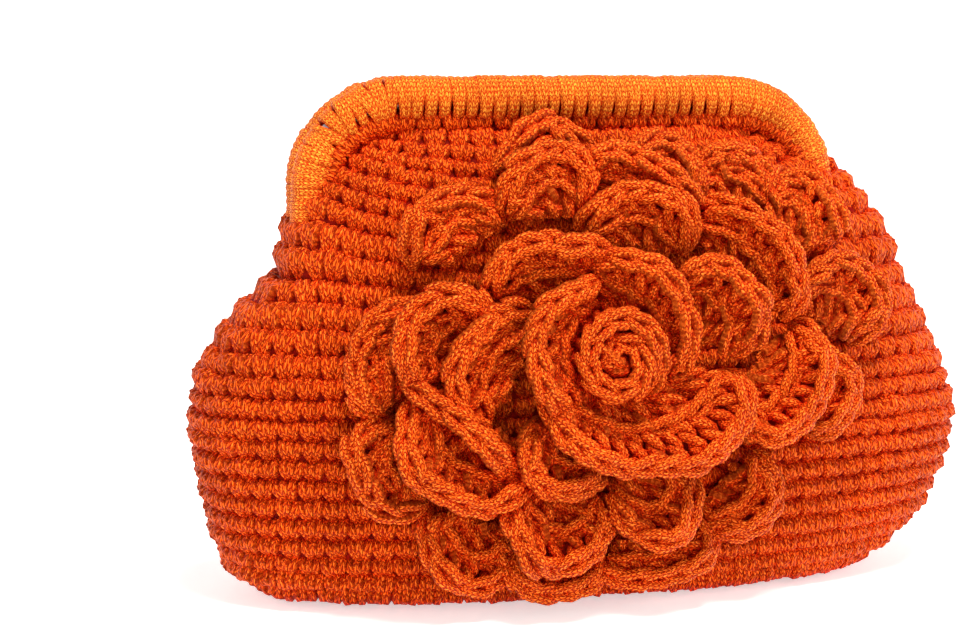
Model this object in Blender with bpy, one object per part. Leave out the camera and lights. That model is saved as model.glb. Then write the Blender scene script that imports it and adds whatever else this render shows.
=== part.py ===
"""Crocheted clutch bag: a thick cord shell held in a hinged two-piece frame.

The frame's tubes are wound over with the same cord, and a large rose of
crocheted petal rounds is sewn to the front panel. Metres, +Z up, the bag
stands on its base with its front towards -Y.
"""

import math

import bmesh
import bpy
from mathutils import Vector

# Cord and gaps
CORD_DIAMETER = 0.0030
FIT_GAP = 0.0003
ROLL_GAP = 0.0005

# Frame: two tubes bent to an arch, hinged at their ends
BAG_HEIGHT = 0.180
FRAME_WIDTH = 0.196
FRAME_DROP = 0.068
FRAME_CORNER = 0.040
TUBE_RADIUS = 0.0040
HINGE_ABOVE_END = 0.0070
PIN_RADIUS = 0.0015

# Shell: the crocheted body
SHELL_WIDTH = 0.268
SHELL_DEPTH = 0.092
SHELL_WALL = 0.0055
PANEL_CLEARANCE = 0.0007

# Rose: petal rounds stacked on the front panel
ROSE_FOOT = 0.005
ROSE_HEAD_ROOM = 0.0015
ROSE_OFF_CENTRE = 0.004
ROSE_BREADTH = 1.10
PANEL_BOW = 0.0008
PETAL_THICKNESS = 0.0040
HEART_RADIUS = 0.0175
HEART_HEIGHT = 0.0130
HEART_WALL = 0.0042
HEART_TURNS = 2.2
HEART_SLOPE = 0.25

# Sizes that follow from those above
BORE_RADIUS = TUBE_RADIUS + FIT_GAP
ROLL_RADIUS = BORE_RADIUS + CORD_DIAMETER
HALF_SPREAD = ROLL_RADIUS + ROLL_GAP / 2
ARM_OFFSET = FRAME_WIDTH / 2 - ROLL_RADIUS
ARM_END = BAG_HEIGHT - FRAME_DROP
SHOULDER = ARM_END - FIT_GAP
RIM = BAG_HEIGHT - 2 * ROLL_RADIUS - FIT_GAP
MOUTH_HALF_DEPTH = HALF_SPREAD + SHELL_WALL / 2
ROSE_TOP = RIM - ROSE_HEAD_ROOM
ROSE_CENTRE = (ROSE_TOP + ROSE_FOOT) / 2
ROSE_RADIUS = (ROSE_TOP - ROSE_FOOT) / 2

# How finely the round forms are drawn
SHELL_COLUMNS = 48
ROLL_SIDES = 10
PIN_SIDES = 12
CORNER_STEPS = 8
HEART_STEPS_PER_TURN = 20
SHARP_DEGREES = 50

# Loops of the shell from the base up to the frame's ends, as shares of
# SHOULDER, SHELL_WIDTH / 2 and SHELL_DEPTH / 2, and how square each loop is
SHELL_SECTIONS = (
    # height, left, right, depth, squareness
    (0.000, 0.740, 0.740, 0.740, 2.6),
    (0.018, 0.815, 0.820, 0.840, 2.6),
    (0.075, 0.895, 0.915, 0.920, 2.6),
    (0.190, 0.940, 1.020, 0.975, 2.6),
    (0.360, 0.970, 1.090, 1.000, 2.6),
    (0.540, 0.995, 1.115, 0.990, 2.6),
    (0.700, 0.975, 1.065, 0.960, 2.6),
    (0.840, 0.910, 1.005, 0.900, 2.7),
    (0.930, 0.845, 0.970, 0.850, 2.8),
    (0.980, 0.795, 0.945, 0.815, 2.9),
)
# Panels above the frame's ends: how far they puff past the arms on each side,
# and how the puff and the depth fade towards the mouth
NECK_SQUARENESS = 3.0
NECK_PUFF_LEFT = 0.020
NECK_PUFF_RIGHT = 0.042
PUFF_FADE = 1.6
DEPTH_FADE = 1.6
NECK_ARC_DEGREES = (0, 30, 55, 75, 90)

# Petal rounds from the bag outwards, as shares of ROSE_RADIUS and in metres
ROSE_ROUNDS = (
    # name, petals, radius share, turn in degrees, rim lift, notch depth, ridge
    ("petal_round_outer", 12, 1.00, 15.0, 0.0085, 0.0075, 0.0030),
    ("petal_round_middle", 8, 0.72, 20.0, 0.0110, 0.0070, 0.0035),
    ("petal_round_inner", 5, 0.45, 62.0, 0.0100, 0.0050, 0.0030),
)
COLUMNS_PER_PETAL = 6
SEAT_STEPS = 5
CUP_STEPS = (0.4, 0.75, 1.0)
EYE_RADIUS = 0.006
SEAT_FLOOR = 0.5
# A petal's outline dips between two tips, and its face climbs late, like a spoon's;
# the ridge stands where two petals meet
NOTCH_POWER = 2.4
EVEN_CLIMB = 0.2
LATE_CLIMB_POWER = 2.5
RIDGE_POWER = 3
RIDGE_END = 0.8

# Finishes: base colour, roughness, metallic
CORD_ORANGE = ((0.80, 0.13, 0.012, 1.0), 0.62, 0.0)
CORD_WOUND = ((0.88, 0.22, 0.022, 1.0), 0.55, 0.0)
TUBE_STEEL = ((0.55, 0.56, 0.58, 1.0), 0.35, 1.0)


def clear_scene():
    for thing in list(bpy.data.objects):
        bpy.data.objects.remove(thing, do_unlink=True)


def finish(name, values):
    colour, roughness, metallic = values
    made = bpy.data.materials.get(name) or bpy.data.materials.new(name)
    made.use_nodes = True
    shader = made.node_tree.nodes["Principled BSDF"]
    shader.inputs["Base Color"].default_value = colour
    shader.inputs["Roughness"].default_value = roughness
    shader.inputs["Metallic"].default_value = metallic
    return made


def add_object(name, mesh, material):
    made = bpy.data.objects.new(name, mesh)
    mesh.materials.append(material)
    bpy.context.scene.collection.objects.link(made)
    return made


# Closed sheets: an outer and an inner grid of points, joined along every free edge
def closed_sheet(name, outer, inner, material, wrap=True, floor=False, present=None):
    rows = len(outer)
    columns = len(outer[0])
    spans = columns if wrap else columns - 1
    shape = bmesh.new()
    skins = [[[shape.verts.new(p) for p in row] for row in grid] for grid in (outer, inner)]

    def is_present(row, column):
        return present is None or present(row, column)

    def corners(skin, row, column):
        after = (column + 1) % columns
        return (
            skin[row][column],
            skin[row][after],
            skin[row + 1][after],
            skin[row + 1][column],
        )

    edge_uses = {}
    for row in range(rows - 1):
        for column in range(spans):
            if not is_present(row, column):
                continue
            for skin in skins:
                shape.faces.new(corners(skin, row, column))
            after = (column + 1) % columns
            ring = ((row, column), (row, after), (row + 1, after), (row + 1, column))
            for start, end in zip(ring, ring[1:] + ring[:1]):
                key = tuple(sorted((start, end)))
                edge_uses[key] = edge_uses.get(key, 0) + 1
    for (start, end), uses in edge_uses.items():
        is_floor = floor and start[0] == 0 and end[0] == 0
        if uses == 1 and not is_floor:
            outside = [skins[0][row][column] for row, column in (start, end)]
            inside = [skins[1][row][column] for row, column in (end, start)]
            shape.faces.new(outside + inside)
    if floor:
        for skin in skins:
            ring = skin[0]
            middle = sum((v.co for v in ring), Vector()) / len(ring)
            hub = shape.verts.new(middle)
            for start, end in zip(ring, ring[1:] + ring[:1]):
                shape.faces.new((start, end, hub))
    loose = [v for v in shape.verts if not v.link_faces]
    bmesh.ops.delete(shape, geom=loose, context="VERTS")
    bmesh.ops.recalc_face_normals(shape, faces=shape.faces)
    bmesh.ops.triangulate(shape, faces=shape.faces)
    mesh = bpy.data.meshes.new(name)
    shape.to_mesh(mesh)
    shape.free()
    mesh.shade_smooth()
    mesh.set_sharp_from_angle(angle=math.radians(SHARP_DEGREES))
    return add_object(name, mesh, material)


# Shell: closed loops up to the frame's ends, then two panels inside the arch
def neck_half_width(height):
    """Half width of the panels' edges, which lie clear inside the wound arch."""
    straight = ARM_OFFSET - ROLL_RADIUS - PANEL_CLEARANCE
    corner = FRAME_CORNER - 2 * ROLL_RADIUS - PANEL_CLEARANCE
    rise = max(0.0, height - (BAG_HEIGHT - FRAME_CORNER))
    return straight - corner + math.sqrt(max(0.0, corner**2 - rise**2))


def neck_share(height):
    return (height - SHOULDER) / (RIM - SHOULDER)


def neck_half_depth(height):
    """Half depth of the panels, from the shoulder up to the narrow mouth."""
    shoulder_depth = SHELL_SECTIONS[-1][3] * SHELL_DEPTH / 2
    fade = 1 - neck_share(height) ** DEPTH_FADE
    return MOUTH_HALF_DEPTH + (shoulder_depth - MOUTH_HALF_DEPTH) * fade


def shell_loops():
    """(height, left half width, right half width, half depth, squareness), base to rim."""
    loops = [
        (h * SHOULDER, left * SHELL_WIDTH / 2, right * SHELL_WIDTH / 2, d * SHELL_DEPTH / 2, square)
        for h, left, right, d, square in SHELL_SECTIONS
    ]
    corner_start = BAG_HEIGHT - FRAME_CORNER
    corner = RIM - corner_start
    heights = [SHOULDER, (SHOULDER + corner_start) / 2]
    heights += [corner_start + corner * math.sin(math.radians(a)) for a in NECK_ARC_DEGREES]
    for height in heights:
        width = neck_half_width(height)
        fade = 1 - neck_share(height) ** PUFF_FADE
        left = width + NECK_PUFF_LEFT * fade
        right = width + NECK_PUFF_RIGHT * fade
        loops.append((height, left, right, neck_half_depth(height), NECK_SQUARENESS))
    return loops


def loop_point(loop, angle, inset=0.0):
    """A place on a loop, at an angle from +X; left and right half widths may differ."""
    height, left, right, half_depth, squareness = loop
    power = 2 / squareness
    across, along = math.cos(angle), math.sin(angle)
    half_width = (right if across > 0 else left) - inset
    return Vector(
        (
            half_width * math.copysign(abs(across) ** power, across),
            (half_depth - inset) * math.copysign(abs(along) ** power, along),
            height,
        )
    )


def neck_row(loop):
    """A loop's points, with those that would meet the arms moved inside the arch."""
    width = neck_half_width(loop[0])
    front_of_arm = HALF_SPREAD + ROLL_RADIUS + PANEL_CLEARANCE
    row = [loop_point(loop, math.tau * k / SHELL_COLUMNS) for k in range(SHELL_COLUMNS)]
    beside = [abs(p.y) < front_of_arm + FIT_GAP for p in row]
    for k, point in enumerate(row):
        if not beside[k]:
            continue
        point.x = max(-width, min(width, point.x))
        is_last = not (beside[k - 1] and beside[(k + 1) % SHELL_COLUMNS])
        if is_last:
            point.y = math.copysign(front_of_arm, point.y)
    return row


def inset_row(outer, r):
    """The inner skin of a closed loop: each point moved in along the surface's normal."""
    row, below, above = outer[r], outer[max(r - 1, 0)], outer[r + 1]
    inner_row = []
    for c, point in enumerate(row):
        round_the_loop = row[(c + 1) % SHELL_COLUMNS] - row[c - 1]
        up_the_side = above[c] - below[c]
        normal = round_the_loop.cross(up_the_side).normalized()
        moved = point - normal * SHELL_WALL
        if r == 0:
            moved.z = SHELL_WALL
        inner_row.append(moved)
    return inner_row


def make_shell(material):
    loops = shell_loops()
    closed_rows = len(SHELL_SECTIONS)
    outer = []
    for loop in loops[:closed_rows]:
        outer.append([loop_point(loop, math.tau * k / SHELL_COLUMNS) for k in range(SHELL_COLUMNS)])
    outer += [neck_row(loop) for loop in loops[closed_rows:]]
    inner = [inset_row(outer, r) for r in range(closed_rows)]
    for height, left, right, half_depth, squareness in loops[closed_rows:]:
        width = neck_half_width(height)
        plain = (height, width, width, half_depth, squareness)
        angles = [math.tau * k / SHELL_COLUMNS for k in range(SHELL_COLUMNS)]
        inner.append([loop_point(plain, angle, SHELL_WALL) for angle in angles])
    half = SHELL_COLUMNS // 2
    slit_columns = {0, SHELL_COLUMNS - 1, half - 1, half}

    def present(row, column):
        return row < closed_rows or column not in slit_columns

    closed_sheet("bag_shell", outer, inner, material, floor=True, present=present)


# Frame: one arch path, used for the tubes and for the cord wound over them
def arch_path():
    """(x, z, outward x, outward z) along the frame's centre line, left end to right end."""
    centre_corner = FRAME_CORNER - ROLL_RADIUS
    corner_x = ARM_OFFSET - centre_corner
    corner_z = BAG_HEIGHT - FRAME_CORNER
    path = [(-ARM_OFFSET, ARM_END, -1.0, 0.0)]
    path.append((-ARM_OFFSET, (ARM_END + corner_z) / 2, -1.0, 0.0))
    for side in (-1, 1):
        for step in range(CORNER_STEPS + 1):
            turn = math.radians(90) * step / CORNER_STEPS
            turn = turn if side < 0 else math.radians(90) - turn
            out_x, out_z = side * math.cos(turn), math.sin(turn)
            path.append(
                (
                    side * corner_x + centre_corner * out_x,
                    corner_z + centre_corner * out_z,
                    out_x,
                    out_z,
                )
            )
    path.append((ARM_OFFSET, (ARM_END + corner_z) / 2, 1.0, 0.0))
    path.append((ARM_OFFSET, ARM_END, 1.0, 0.0))
    return path


def arch_rings(radius, side):
    """Rings round the arch path of the front (side -1) or back (side 1) half."""
    rings = []
    for x, z, out_x, out_z in arch_path():
        ring = []
        for k in range(ROLL_SIDES):
            angle = math.tau * k / ROLL_SIDES
            out = radius * math.cos(angle)
            ring.append(
                Vector(
                    (
                        x + out * out_x,
                        side * HALF_SPREAD + radius * math.sin(angle),
                        z + out * out_z,
                    )
                )
            )
        rings.append(ring)
    return rings


def make_tube(name, side, material):
    shape = bmesh.new()
    rings = [[shape.verts.new(p) for p in ring] for ring in arch_rings(TUBE_RADIUS, side)]
    for lower, upper in zip(rings, rings[1:]):
        for k in range(ROLL_SIDES):
            after = (k + 1) % ROLL_SIDES
            shape.faces.new((lower[k], lower[after], upper[after], upper[k]))
    shape.faces.new(rings[0])
    shape.faces.new(rings[-1])
    bmesh.ops.recalc_face_normals(shape, faces=shape.faces)
    bmesh.ops.triangulate(shape, faces=shape.faces)
    mesh = bpy.data.meshes.new(name)
    shape.to_mesh(mesh)
    shape.free()
    mesh.shade_smooth()
    mesh.set_sharp_from_angle(angle=math.radians(SHARP_DEGREES))
    return add_object(name, mesh, material)


def rod_along_y(name, x, z, radius, length, material):
    shape = bmesh.new()
    bmesh.ops.create_cone(
        shape, cap_ends=True, segments=PIN_SIDES, radius1=radius, radius2=radius, depth=length
    )
    mesh = bpy.data.meshes.new(name)
    shape.to_mesh(mesh)
    shape.free()
    made = add_object(name, mesh, material)
    made.location = (x, 0.0, z)
    made.rotation_euler = (math.radians(90), 0.0, 0.0)
    return made


def cut_with(thing, cutter):
    cutter.hide_render = True
    cutter.display_type = "WIRE"
    cut = thing.modifiers.new("hinge_hole", "BOOLEAN")
    cut.operation = "DIFFERENCE"
    cut.object = cutter


def make_frame(steel, wound_cord):
    tubes = [make_tube(n, s, steel) for n, s in (("frame_front", -1), ("frame_back", 1))]
    sleeves = []
    for name, side in (("winding_front", -1), ("winding_back", 1)):
        outer = arch_rings(ROLL_RADIUS, side)
        inner = arch_rings(BORE_RADIUS, side)
        sleeves.append(closed_sheet(name, outer, inner, wound_cord))
    hinge_z = ARM_END + HINGE_ABOVE_END
    pin_length = 2 * (HALF_SPREAD + TUBE_RADIUS) - FIT_GAP
    hole_radius = PIN_RADIUS + FIT_GAP
    for label, x in (("left", -ARM_OFFSET), ("right", ARM_OFFSET)):
        rod_along_y(f"hinge_pin_{label}", x, hinge_z, PIN_RADIUS, pin_length, steel)
        through_tubes = 2 * (HALF_SPREAD + 2 * TUBE_RADIUS)
        cutter = rod_along_y(f"tube_cut_{label}", x, hinge_z, hole_radius, through_tubes, steel)
        for tube in tubes:
            cut_with(tube, cutter)
        between_centres = 2 * HALF_SPREAD
        cutter = rod_along_y(
            f"winding_cut_{label}", x, hinge_z, hole_radius, between_centres, wound_cord
        )
        for sleeve in sleeves:
            cut_with(sleeve, cutter)


# Rose: rounds of cupped petals lying on each other, with a coiled heart
def seat_depth(x, z):
    """How far the front panel stands forward at a place; plain below its fullest part."""
    loops = shell_loops()
    fullest = max(loops, key=lambda loop: loop[3])[0]
    height = min(max(z, fullest * SEAT_FLOOR), RIM)
    for below, above in zip(loops, loops[1:]):
        if below[0] <= height <= above[0]:
            share = (height - below[0]) / (above[0] - below[0])
            left, right, depth, square = (
                low + (high - low) * share for low, high in zip(below[1:], above[1:])
            )
            break
    across = min(1.0, abs(x) / (right if x > 0 else left))
    return depth * (1 - across**square) ** (1 / square)


def on_the_panel(radius, angle, lift):
    """A place on the rose, given round its centre, stood forward of the panel by lift."""
    breadth = 1 + (ROSE_BREADTH - 1) * radius / ROSE_RADIUS
    x = ROSE_OFF_CENTRE + breadth * radius * math.cos(angle)
    z = ROSE_CENTRE + radius * math.sin(angle)
    return Vector((x, -(seat_depth(x, z) + PANEL_BOW + lift), z))


def make_petal_round(order, material):
    name, petals, share, turn, rim_lift, notch, ridge = ROSE_ROUNDS[order]
    rim = ROSE_RADIUS * share
    if order + 1 < len(ROSE_ROUNDS):
        covered = ROSE_RADIUS * ROSE_ROUNDS[order + 1][2]
    else:
        covered = HEART_RADIUS + FIT_GAP
    seat = order * (PETAL_THICKNESS + FIT_GAP)
    columns = petals * COLUMNS_PER_PETAL
    radii = [(EYE_RADIUS + (covered - EYE_RADIUS) * k / SEAT_STEPS, 0.0) for k in range(SEAT_STEPS)]
    radii.append((covered, 0.0))
    radii += [(None, cup) for cup in CUP_STEPS]
    under, over = [], []
    for radius, cup in radii:
        low, high = [], []
        for column in range(columns):
            angle = math.radians(turn) + math.tau * column / columns
            place = (column / COLUMNS_PER_PETAL) % 1.0 * 2 - 1
            tip = rim - notch * abs(place) ** NOTCH_POWER
            reach = radius if radius is not None else covered + (tip - covered) * cup
            lift = rim_lift * (EVEN_CLIMB * cup + (1 - EVEN_CLIMB) * cup**LATE_CLIMB_POWER)
            lift += ridge * abs(place) ** RIDGE_POWER * math.sin(math.pi * RIDGE_END * cup)
            low.append(on_the_panel(reach, angle, seat + lift))
            high.append(on_the_panel(reach, angle, seat + lift + PETAL_THICKNESS))
        under.append(low)
        over.append(high)
    return closed_sheet(name, over, under, material)


def make_heart(material):
    """The coiled strip in the middle, a wall that winds out from the centre."""
    steps = round(HEART_TURNS * HEART_STEPS_PER_TURN)
    seat = len(ROSE_ROUNDS) * (PETAL_THICKNESS + FIT_GAP)
    turn_spacing = (HEART_RADIUS - HEART_WALL) / HEART_TURNS
    outer, inner = [], []
    for is_top in (False, True):
        outer_row, inner_row = [], []
        for step in range(steps + 1):
            turns = HEART_TURNS * step / steps
            angle = math.tau * turns + math.radians(ROSE_ROUNDS[-1][3])
            wall_in = turn_spacing * turns
            strip_height = HEART_HEIGHT * (1 - HEART_SLOPE * turns / HEART_TURNS)
            lift = seat + (strip_height if is_top else 0.0)
            inner_row.append(on_the_panel(max(wall_in, FIT_GAP), angle, lift))
            outer_row.append(on_the_panel(wall_in + HEART_WALL, angle, lift))
        outer.append(outer_row)
        inner.append(inner_row)
    return closed_sheet("rose_heart", outer, inner, material, wrap=False)


def main():
    clear_scene()
    cord = finish("crochet_cord", CORD_ORANGE)
    wound_cord = finish("wound_cord", CORD_WOUND)
    steel = finish("tube_steel", TUBE_STEEL)
    make_shell(cord)
    make_frame(steel, wound_cord)
    for order in range(len(ROSE_ROUNDS)):
        make_petal_round(order, cord)
    make_heart(cord)


main()
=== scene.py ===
# %% [markdown]
# # A crocheted frame clutch
# The bag is crocheted from thick knitted polyester cord. A hinged metal frame
# runs along its top, wound over with the same cord, and a layered rose is sewn
# to the front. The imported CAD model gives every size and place. This script
# makes the visible cord: some two thousand stitches, the turns round the frame,
# and the posts and plaited rims of the petals.

import math

import bmesh
import bpy
import numpy as np
from mathutils import Matrix, Vector


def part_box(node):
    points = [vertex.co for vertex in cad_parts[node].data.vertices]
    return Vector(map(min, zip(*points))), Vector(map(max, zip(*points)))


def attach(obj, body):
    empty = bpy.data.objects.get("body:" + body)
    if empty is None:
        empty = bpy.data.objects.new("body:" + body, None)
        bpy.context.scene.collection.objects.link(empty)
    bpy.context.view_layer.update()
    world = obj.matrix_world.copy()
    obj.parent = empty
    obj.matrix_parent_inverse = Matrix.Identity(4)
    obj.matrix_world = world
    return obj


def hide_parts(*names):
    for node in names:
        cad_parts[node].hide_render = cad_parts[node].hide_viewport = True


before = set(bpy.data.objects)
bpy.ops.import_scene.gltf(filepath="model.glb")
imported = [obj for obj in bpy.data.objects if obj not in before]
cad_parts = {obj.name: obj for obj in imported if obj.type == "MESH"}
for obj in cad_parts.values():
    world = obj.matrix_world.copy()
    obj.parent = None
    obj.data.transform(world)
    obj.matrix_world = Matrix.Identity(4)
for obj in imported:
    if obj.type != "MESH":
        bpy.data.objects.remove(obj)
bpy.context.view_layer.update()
MM = 0.001
SIDES = {"front": -1, "back": 1}

# %% [markdown]
# ## Small helpers
# Every material and every Geometry Nodes tree below is built from nodes. One
# function adds a node, sets its properties and fills or links its sockets, so
# that each tree reads as a short list. Shorter ones stand for the few nodes that
# come back again and again. Colours are written as they look on screen, in hex,
# and Blender's shaders want linear light, so one function turns the first into
# the second.

# %% Nodes and colours
def add_node(tree, kind, sockets=None, **settings):
    """Adds a node; sockets maps an input to a value or to another node's output."""
    node = tree.nodes.new(kind)
    for name, value in settings.items():
        setattr(node, name, value)
    for socket, value in (sockets or {}).items():
        if isinstance(value, bpy.types.NodeSocket):
            tree.links.new(value, node.inputs[socket])
        else:
            node.inputs[socket].default_value = value
    return node


def linear(hex_colour):
    """Turns an sRGB hex colour such as 'ff8800' into linear RGBA."""
    shares = [int(hex_colour[i : i + 2], 16) / 255 for i in (0, 2, 4)]
    light = [s / 12.92 if s <= 0.04045 else ((s + 0.055) / 1.055) ** 2.4 for s in shares]
    return (*light, 1.0)


def calc(tree, operation, *values):
    """Adds a Math node and returns its result."""
    sockets = dict(enumerate(values))
    return add_node(tree, "ShaderNodeMath", sockets, operation=operation).outputs[0]


def remap(tree, value, low, high, new_low, new_high):
    """Adds a Map Range node, which turns low to high into new_low to new_high."""
    sockets = {0: value, 1: low, 2: high, 3: new_low, 4: new_high}
    return add_node(tree, "ShaderNodeMapRange", sockets).outputs[0]


def mix(tree, factor, first, second, blend="MIX"):
    """Adds a node that mixes two colours and returns the result."""
    sockets = {"Factor": factor, "A": first, "B": second}
    node = add_node(tree, "ShaderNodeMix", sockets, data_type="RGBA", blend_type=blend)
    return node.outputs["Result"]


def noise(tree, place, scale, detail):
    sockets = {"Vector": place, "Scale": scale, "Detail": detail}
    return add_node(tree, "ShaderNodeTexNoise", sockets).outputs[0]


def bump(tree, height, strength, distance, invert=False):
    sockets = {"Strength": strength, "Distance": distance, "Height": height}
    return add_node(tree, "ShaderNodeBump", sockets, invert=invert).outputs[0]


def new_material(name):
    """An empty material, its tree and the place in the object's own coordinates."""
    material = bpy.data.materials.new(name)
    material.use_nodes = True
    tree = material.node_tree
    tree.nodes.clear()
    return material, tree, add_node(tree, "ShaderNodeTexCoord").outputs["Object"]


def add_surface(material, sockets):
    """Ends a material's tree with one shader, whose sockets are given by name."""
    shader = add_node(material.node_tree, "ShaderNodeBsdfPrincipled", sockets)
    add_node(material.node_tree, "ShaderNodeOutputMaterial", {"Surface": shader.outputs[0]})
    return material


# %% [markdown]
# ## Knitted polyester cord
# The cord is a hollow tube, knitted by machine from shiny polyester yarn. Up
# close it shows columns of small V shapes running along it: yarn on the crown
# of each V and a dark dot between two of them. The colour follows the knit's
# height. Where the knit is low it is dark red, which is painted shade in the
# grooves and gaps. On the highest yarn it is lighter and yellower, which is a
# painted highlight. A texture could be painted by hand, but the pattern follows
# a rule, so it is worked out from the cord's own UV map: U is the length along
# the cord in metres, V goes once round it.
# The columns come from V, the rows from U, and a shift of the rows towards the
# middle of each column bends the lines into Vs. In the nooks between two cords
# the light has bounced off orange yarn several times and only red is left, so
# the colour is multiplied by a red tint wherever little of the sky is seen.

# %% Cord material
CORD_UV = "cord_uv"
WALES_ROUND = 8
ROW_PITCH = 1.5 * MM
V_SLANT = 1.5
V_SHAKE = 1.3
UNEVEN_SCALE, BLOTCH_SCALE = 900.0, 60.0
STRAND_SCALE = (1 / (1.6 * MM), 16.0, 1.0)
HIGHLIGHT_SHARE = 0.4
NOOK_DEPTH = 6.5 * MM
NOOK_TINT = "ff3420"
KNIT_DEPTH = 0.4 * MM


def cord_pattern(tree, spot):
    """The knit's height from 0 to 1, and a slow blotchy variation."""
    place = add_node(tree, "ShaderNodeUVMap", uv_map=CORD_UV).outputs[0]
    along, around, _ = add_node(tree, "ShaderNodeSeparateXYZ", {0: place}).outputs
    uneven = noise(tree, spot, UNEVEN_SCALE, 1.0)
    blotch = noise(tree, spot, BLOTCH_SCALE, 2.0)
    rows = calc(tree, "DIVIDE", along, ROW_PITCH)
    wales = calc(tree, "MULTIPLY", around, WALES_ROUND)
    fold = calc(tree, "PINGPONG", wales, 0.5)
    bent = calc(tree, "MULTIPLY_ADD", fold, V_SLANT, rows)
    shaken = calc(tree, "MULTIPLY_ADD", uneven, V_SHAKE, bent)
    wave = calc(tree, "SINE", calc(tree, "MULTIPLY", shaken, math.tau))
    crown = remap(tree, fold, 0.0, 0.15, 0.10, 1.0)
    yarn = remap(tree, wave, -0.9, 0.25, 0.0, 1.0)
    drawn = add_node(tree, "ShaderNodeMapping", {"Vector": place, "Scale": STRAND_SCALE})
    strand = remap(tree, noise(tree, drawn.outputs[0], 1.0, 1.0), 0.36, 0.6, 0.5, 1.0)
    return calc(tree, "MULTIPLY", calc(tree, "MULTIPLY", yarn, crown), strand), blotch


def knitted_cord(name, yarn_hex, gap_shade_hex, highlight_hex, roughness):
    """Polyester yarn: painted highlights on each V, a soft gloss and painted red shade between."""
    material, tree, spot = new_material(name)
    height, blotch = cord_pattern(tree, spot)
    # Dark red where the knit is low: painted shade in the grooves and gaps.
    yarn = mix(tree, height, linear(gap_shade_hex), linear(yarn_hex))
    # A lighter colour on the highest yarn: a painted highlight.
    top = remap(tree, height, 0.7, 1.0, 0.0, HIGHLIGHT_SHARE)
    highlighted_yarn = mix(tree, top, yarn, linear(highlight_hex))
    value = remap(tree, blotch, 0.3, 0.7, 0.84, 1.08)
    shade = add_node(tree, "ShaderNodeHueSaturation", {"Color": highlighted_yarn, "Value": value})
    openness = add_node(tree, "ShaderNodeAmbientOcclusion", {"Distance": NOOK_DEPTH}, samples=1)
    nook = remap(tree, openness.outputs["AO"], 0.36, 1.0, 0.0, 1.0)
    tint = mix(tree, nook, linear(NOOK_TINT), linear("ffffff"))
    sockets = {
        "Base Color": mix(tree, 1.0, shade.outputs[0], tint, "MULTIPLY"),
        "Roughness": roughness,
        "Normal": bump(tree, height, 0.9, KNIT_DEPTH),
        "Specular IOR Level": 0.5,
        "IOR": 1.35,
        "Specular Tint": linear("ffa050"),
        "Sheen Weight": 0.04,
        "Sheen Roughness": 0.4,
        "Sheen Tint": linear("ff7820"),
    }
    return add_surface(material, sockets)


# Each cord gives its yarn colour, the painted shade in its gaps and its painted highlight. All
# three are one and the same cord. The wound copy is lighter and yellower and the rose's copy a
# little lighter than the body's: painted light for the brightly lit winding on top and the rose's
# brighter highlights.
BODY_CORD = knitted_cord("knitted_polyester_cord_body", "ff600e", "860200", "ff9636", 0.57)
WOUND_CORD = knitted_cord("knitted_polyester_cord_wound", "ff982c", "b42404", "ffb446", 0.58)
ROSE_CORD = knitted_cord("knitted_polyester_cord_rose", "ff6410", "860200", "ff9e42", 0.55)
print("cord materials:", [m.name for m in (BODY_CORD, WOUND_CORD, ROSE_CORD)])

# %% [markdown]
# ## The shade under the stitches and the metal of the frame
# Between the stitches the eye looks into the thickness of the crochet, where
# light has bounced off orange cord many times and only deep red is left. The
# layer under the stitches is the same orange cord, but its colour is painted
# shade: a rough, dark red finish with a coarse lumpy bump, darker still between
# the lumps. The frame is bent from steel tube with a dull nickel plating, which
# shows in a few small gaps between the turns.

# %% Ground and metal materials
def cord_in_painted_shade(name):
    """Cord deep in the crochet, dull and lumpy, coloured dark red as painted shade."""
    material, tree, spot = new_material(name)
    lumps = add_node(tree, "ShaderNodeTexVoronoi", {"Vector": spot, "Scale": 280.0})
    lump = lumps.outputs["Distance"]
    sockets = {
        # Painted shade: dark red, darker still in the low parts between the lumps.
        "Base Color": mix(tree, lump, linear("8a0c00"), linear("4a0300")),
        "Roughness": 0.85,
        "Normal": bump(tree, lump, 0.8, 0.8 * MM, invert=True),
        "Specular IOR Level": 0.08,
    }
    return add_surface(material, sockets)


def nickel_plated_steel(name):
    """Drawn tube: fine lines along it under a dull plating, so a broad soft glint."""
    material, tree, spot = new_material(name)
    drawn = noise(tree, spot, 700.0, 3.0)
    sockets = {
        "Base Color": linear("d2d6dd"),
        "Metallic": 0.6,
        "Roughness": remap(tree, drawn, 0.0, 1.0, 0.26, 0.48),
        "Normal": bump(tree, drawn, 0.2, 0.05 * MM),
    }
    return add_surface(material, sockets)


PAINTED_SHADE_CORD = cord_in_painted_shade("knitted_polyester_cord_in_shade")
NICKEL = nickel_plated_steel("nickel_plated_steel_tube")
for part in ("frame_front", "frame_back", "hinge_pin_left", "hinge_pin_right"):
    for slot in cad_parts[part].material_slots:
        slot.material = NICKEL
print("metal parts finished: 4")

# %% [markdown]
# ## Two Geometry Nodes trees
# Nearly everything here is one of two things: a cord swept along a path, or a
# small piece of cord repeated over many places. So there are two trees. The
# first sweeps a round cord along curves and writes the UV map that the knit
# needs. The second puts one model on every point of a mesh, turned by the
# point's own stored angles, with a little seeded unevenness, since no hand
# makes two stitches alike. Both end in real geometry with its material set. What
# the two trees share comes first: their inputs, their end, and the nodes that
# store, read and compare values.

# %% Parts that both trees share
def start_tree(name, inputs, output):
    """A new tree, its inputs' identifiers and the sockets that they come in by."""
    tree = bpy.data.node_groups.new(name, "GeometryNodeTree")
    keys = {}
    for label, kind, *default in inputs:
        kind = "NodeSocket" + kind
        socket = tree.interface.new_socket(label, in_out="INPUT", socket_type=kind)
        if default:
            socket.default_value = default[0]
        keys[label] = socket.identifier
    tree.interface.new_socket(output, in_out="OUTPUT", socket_type="NodeSocketGeometry")
    return tree, keys, add_node(tree, "NodeGroupInput").outputs


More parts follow.
